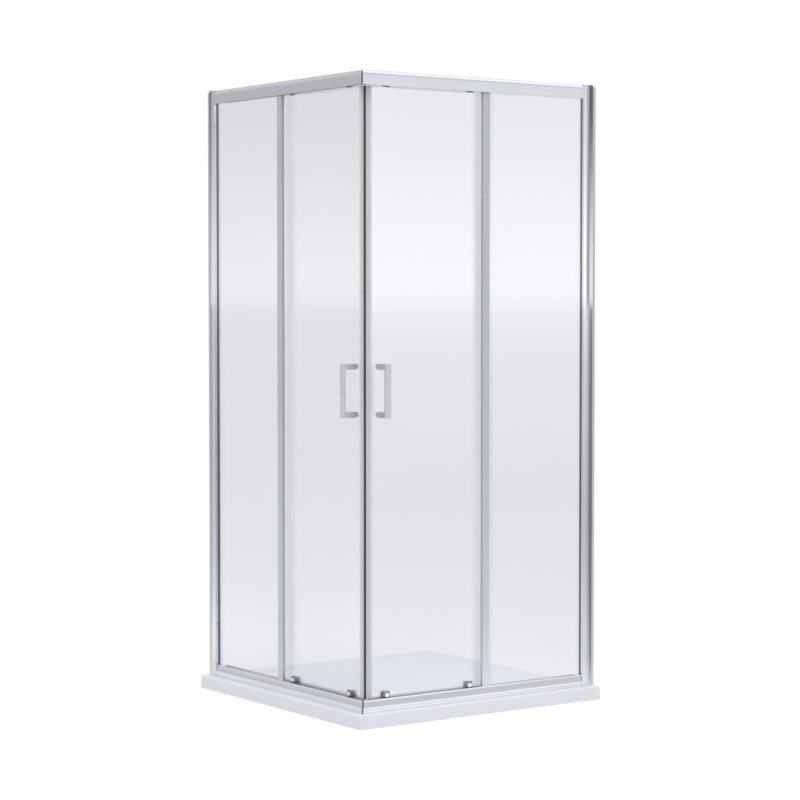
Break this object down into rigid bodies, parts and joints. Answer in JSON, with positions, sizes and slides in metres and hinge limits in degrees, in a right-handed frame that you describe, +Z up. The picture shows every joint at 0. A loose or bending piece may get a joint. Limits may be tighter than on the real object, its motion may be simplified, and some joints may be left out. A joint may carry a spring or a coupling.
{
  "type": "corner entry shower enclosure",
  "caption": "Square framed shower enclosure on a low tray, entered at its free corner through sliding glass doors that run on rollers in its rails and close on magnets.",
  "frame": {"origin": "under the middle of the square tray, on the floor", "axes": "+Z up; the free corner with the doors is at -X -Y; the walls stand at +X and at +Y"},
  "size_m": [0.9, 0.9, 1.89],
  "materials": {
    "tray_white": "gloss acrylic",
    "clear_glass": "clear toughened",
    "polished_aluminium": "polished",
    "satin_aluminium": "satin",
    "bright_chrome": "mirror chrome",
    "screw_steel": "bright",
    "clear_pvc": "translucent PVC",
    "grey_plastic": "matt",
    "wheel_nylon": "satin nylon",
    "magnet_strip": "matt",
    "dark_gasket": "matt",
    "pale_gasket": "matt"
  },
  "bodies": {
    "frame": {"wall_channel_right": "satin_aluminium", "wall_channel_left": "satin_aluminium", "side_post_right": "polished_aluminium", "side_post_left": "polished_aluminium", "fixed_glass_right": "clear_glass", "fixed_glass_left": "clear_glass", "fixed_edge_profile_right": "satin_aluminium", "fixed_edge_profile_left": "satin_aluminium", "top_rail_right": "polished_aluminium", "top_rail_left": "polished_aluminium", "bottom_rail_right": "polished_aluminium", "bottom_rail_left": "polished_aluminium", "post_caps": "polished_aluminium", "post_gaskets": "dark_gasket", "rail_gaskets": "pale_gasket", "rail_end_brackets": "grey_plastic", "rail_screws": "screw_steel", "post_screws": "screw_steel", "door_stops": "dark_gasket", "top_corner_connector": "polished_aluminium", "bottom_corner_connector": "polished_aluminium", "shower_tray": "tray_white", "waste_flange": "bright_chrome", "waste_cover": "bright_chrome"},
    "right_door": {"door_glass_right": "clear_glass", "door_leading_seal_right": "clear_pvc", "door_magnet_strip_right": "magnet_strip", "door_trailing_seal_right": "clear_pvc", "door_handle_right": "bright_chrome", "handle_washers_right": "clear_pvc", "handle_bolts_right": "screw_steel", "roller_bushes_right": "grey_plastic", "upper_roller_caps_right": "bright_chrome", "lower_roller_housings_right": "bright_chrome", "release_springs_right": "screw_steel"},
    "upper_wheel_front_right": {"upper_wheel_front_right": "wheel_nylon"},
    "upper_wheel_rear_right": {"upper_wheel_rear_right": "wheel_nylon"},
    "lower_wheel_front_right": {"lower_wheel_front_right": "wheel_nylon"},
    "lower_wheel_rear_right": {"lower_wheel_rear_right": "wheel_nylon"},
    "release_button_front_right": {"release_button_front_right": "bright_chrome"},
    "release_button_rear_right": {"release_button_rear_right": "bright_chrome"},
    "left_door": {"door_glass_left": "clear_glass", "door_leading_seal_left": "clear_pvc", "door_magnet_strip_left": "magnet_strip", "door_trailing_seal_left": "clear_pvc", "door_handle_left": "bright_chrome", "handle_washers_left": "clear_pvc", "handle_bolts_left": "screw_steel", "roller_bushes_left": "grey_plastic", "upper_roller_caps_left": "bright_chrome", "lower_roller_housings_left": "bright_chrome", "release_springs_left": "screw_steel"},
    "upper_wheel_front_left": {"upper_wheel_front_left": "wheel_nylon"},
    "upper_wheel_rear_left": {"upper_wheel_rear_left": "wheel_nylon"},
    "lower_wheel_front_left": {"lower_wheel_front_left": "wheel_nylon"},
    "lower_wheel_rear_left": {"lower_wheel_rear_left": "wheel_nylon"},
    "release_button_front_left": {"release_button_front_left": "bright_chrome"},
    "release_button_rear_left": {"release_button_rear_left": "bright_chrome"}
  },
  "joints": [
    {"name": "right_door_slide", "type": "slide", "parent": "frame", "child": "right_door", "axis": [1, 0, 0], "range_m": [0, 0.33]},
    {"name": "upper_wheel_front_right_spin", "type": "hinge", "parent": "right_door", "child": "upper_wheel_front_right", "pos_m": [-0.325, -0.3845, 1.8658], "axis": [0, 1, 0], "continuous": true},
    {"name": "upper_wheel_rear_right_spin", "type": "hinge", "parent": "right_door", "child": "upper_wheel_rear_right", "pos_m": [-0.02323, -0.3845, 1.8658], "axis": [0, 1, 0], "continuous": true},
    {"name": "lower_wheel_front_right_spin", "type": "hinge", "parent": "right_door", "child": "lower_wheel_front_right", "pos_m": [-0.325, -0.3845, 0.082], "axis": [0, 1, 0], "continuous": true},
    {"name": "lower_wheel_rear_right_spin", "type": "hinge", "parent": "right_door", "child": "lower_wheel_rear_right", "pos_m": [-0.02323, -0.3845, 0.082], "axis": [0, 1, 0], "continuous": true},
    {"name": "release_button_front_right_press", "type": "slide", "parent": "right_door", "child": "release_button_front_right", "axis": [0, 1, 0], "range_m": [0, 0.002], "stiffness_N_per_m": 900, "deforming": ["release_springs_right"]},
    {"name": "release_button_rear_right_press", "type": "slide", "parent": "right_door", "child": "release_button_rear_right", "axis": [0, 1, 0], "range_m": [0, 0.002], "stiffness_N_per_m": 900, "deforming": ["release_springs_right"]},
    {"name": "left_door_slide", "type": "slide", "parent": "frame", "child": "left_door", "axis": [0, 1, 0], "range_m": [0, 0.33]},
    {"name": "upper_wheel_front_left_spin", "type": "hinge", "parent": "left_door", "child": "upper_wheel_front_left", "pos_m": [-0.3845, -0.325, 1.8658], "axis": [-1, 0, 0], "continuous": true},
    {"name": "upper_wheel_rear_left_spin", "type": "hinge", "parent": "left_door", "child": "upper_wheel_rear_left", "pos_m": [-0.3845, -0.02323, 1.8658], "axis": [-1, 0, 0], "continuous": true},
    {"name": "lower_wheel_front_left_spin", "type": "hinge", "parent": "left_door", "child": "lower_wheel_front_left", "pos_m": [-0.3845, -0.325, 0.082], "axis": [-1, 0, 0], "continuous": true},
    {"name": "lower_wheel_rear_left_spin", "type": "hinge", "parent": "left_door", "child": "lower_wheel_rear_left", "pos_m": [-0.3845, -0.02323, 0.082], "axis": [-1, 0, 0], "continuous": true},
    {"name": "release_button_front_left_press", "type": "slide", "parent": "left_door", "child": "release_button_front_left", "axis": [1, 0, 0], "range_m": [0, 0.002], "stiffness_N_per_m": 900, "deforming": ["release_springs_left"]},
    {"name": "release_button_rear_left_press", "type": "slide", "parent": "left_door", "child": "release_button_rear_left", "axis": [1, 0, 0], "range_m": [0, 0.002], "stiffness_N_per_m": 900, "deforming": ["release_springs_left"]}
  ],
  "couplings": [
    {"joint": "upper_wheel_front_right_spin", "follows": "right_door_slide", "rad_per_m": 90.909},
    {"joint": "upper_wheel_rear_right_spin", "follows": "right_door_slide", "rad_per_m": 90.909},
    {"joint": "lower_wheel_front_right_spin", "follows": "right_door_slide", "rad_per_m": 125},
    {"joint": "lower_wheel_rear_right_spin", "follows": "right_door_slide", "rad_per_m": 125},
    {"joint": "upper_wheel_front_left_spin", "follows": "left_door_slide", "rad_per_m": 90.909},
    {"joint": "upper_wheel_rear_left_spin", "follows": "left_door_slide", "rad_per_m": 90.909},
    {"joint": "lower_wheel_front_left_spin", "follows": "left_door_slide", "rad_per_m": 125},
    {"joint": "lower_wheel_rear_left_spin", "follows": "left_door_slide", "rad_per_m": 125}
  ]
}
